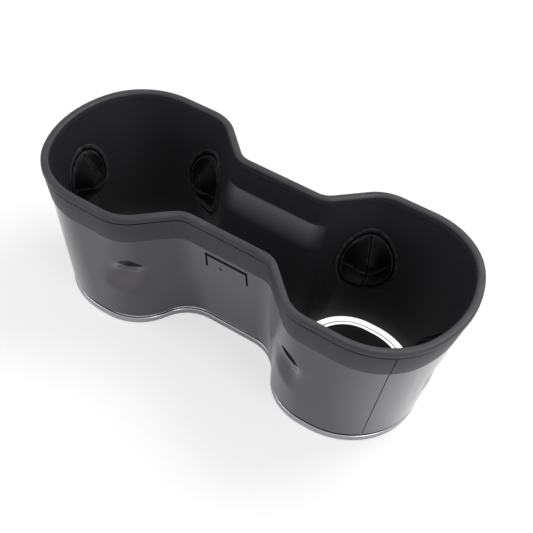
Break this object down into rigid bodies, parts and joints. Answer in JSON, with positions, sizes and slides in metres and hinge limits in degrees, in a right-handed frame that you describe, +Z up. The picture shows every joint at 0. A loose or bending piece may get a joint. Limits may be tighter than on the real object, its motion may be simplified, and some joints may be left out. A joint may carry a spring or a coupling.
{
  "type": "car cup holder",
  "caption": "Twin-well car cup holder insert in black, with a soft rim band, a glossy outer shell, sprung rubber grippers in each well and a bright base.",
  "frame": {"origin": "middle of the underside of the base tray, on the surface that the cup holder stands on", "axes": "+X along the row of two wells, +Y across them to the far side, +Z up out of the wells"},
  "size_m": [0.215, 0.0934, 0.08],
  "materials": {
    "satin_black_trim": "fine matte grain",
    "gloss_black_shell": "polished black",
    "matte_black_liner": "dull black",
    "bright_base": "satin silver white",
    "mat_rubber": "dull rubber",
    "gripper_rubber": "smooth soft rubber"
  },
  "bodies": {
    "root": {"rim_band": "satin_black_trim", "outer_shell": "gloss_black_shell", "inner_liner": "matte_black_liner", "base_tray": "bright_base", "floor_mat_right": "mat_rubber", "floor_mat_left": "mat_rubber", "gripper_right_end": "gripper_rubber", "gripper_right_far": "gripper_rubber", "gripper_right_near": "gripper_rubber", "gripper_left_end": "gripper_rubber", "gripper_left_far": "gripper_rubber", "gripper_left_near": "gripper_rubber"}
  },
  "joints": []
}
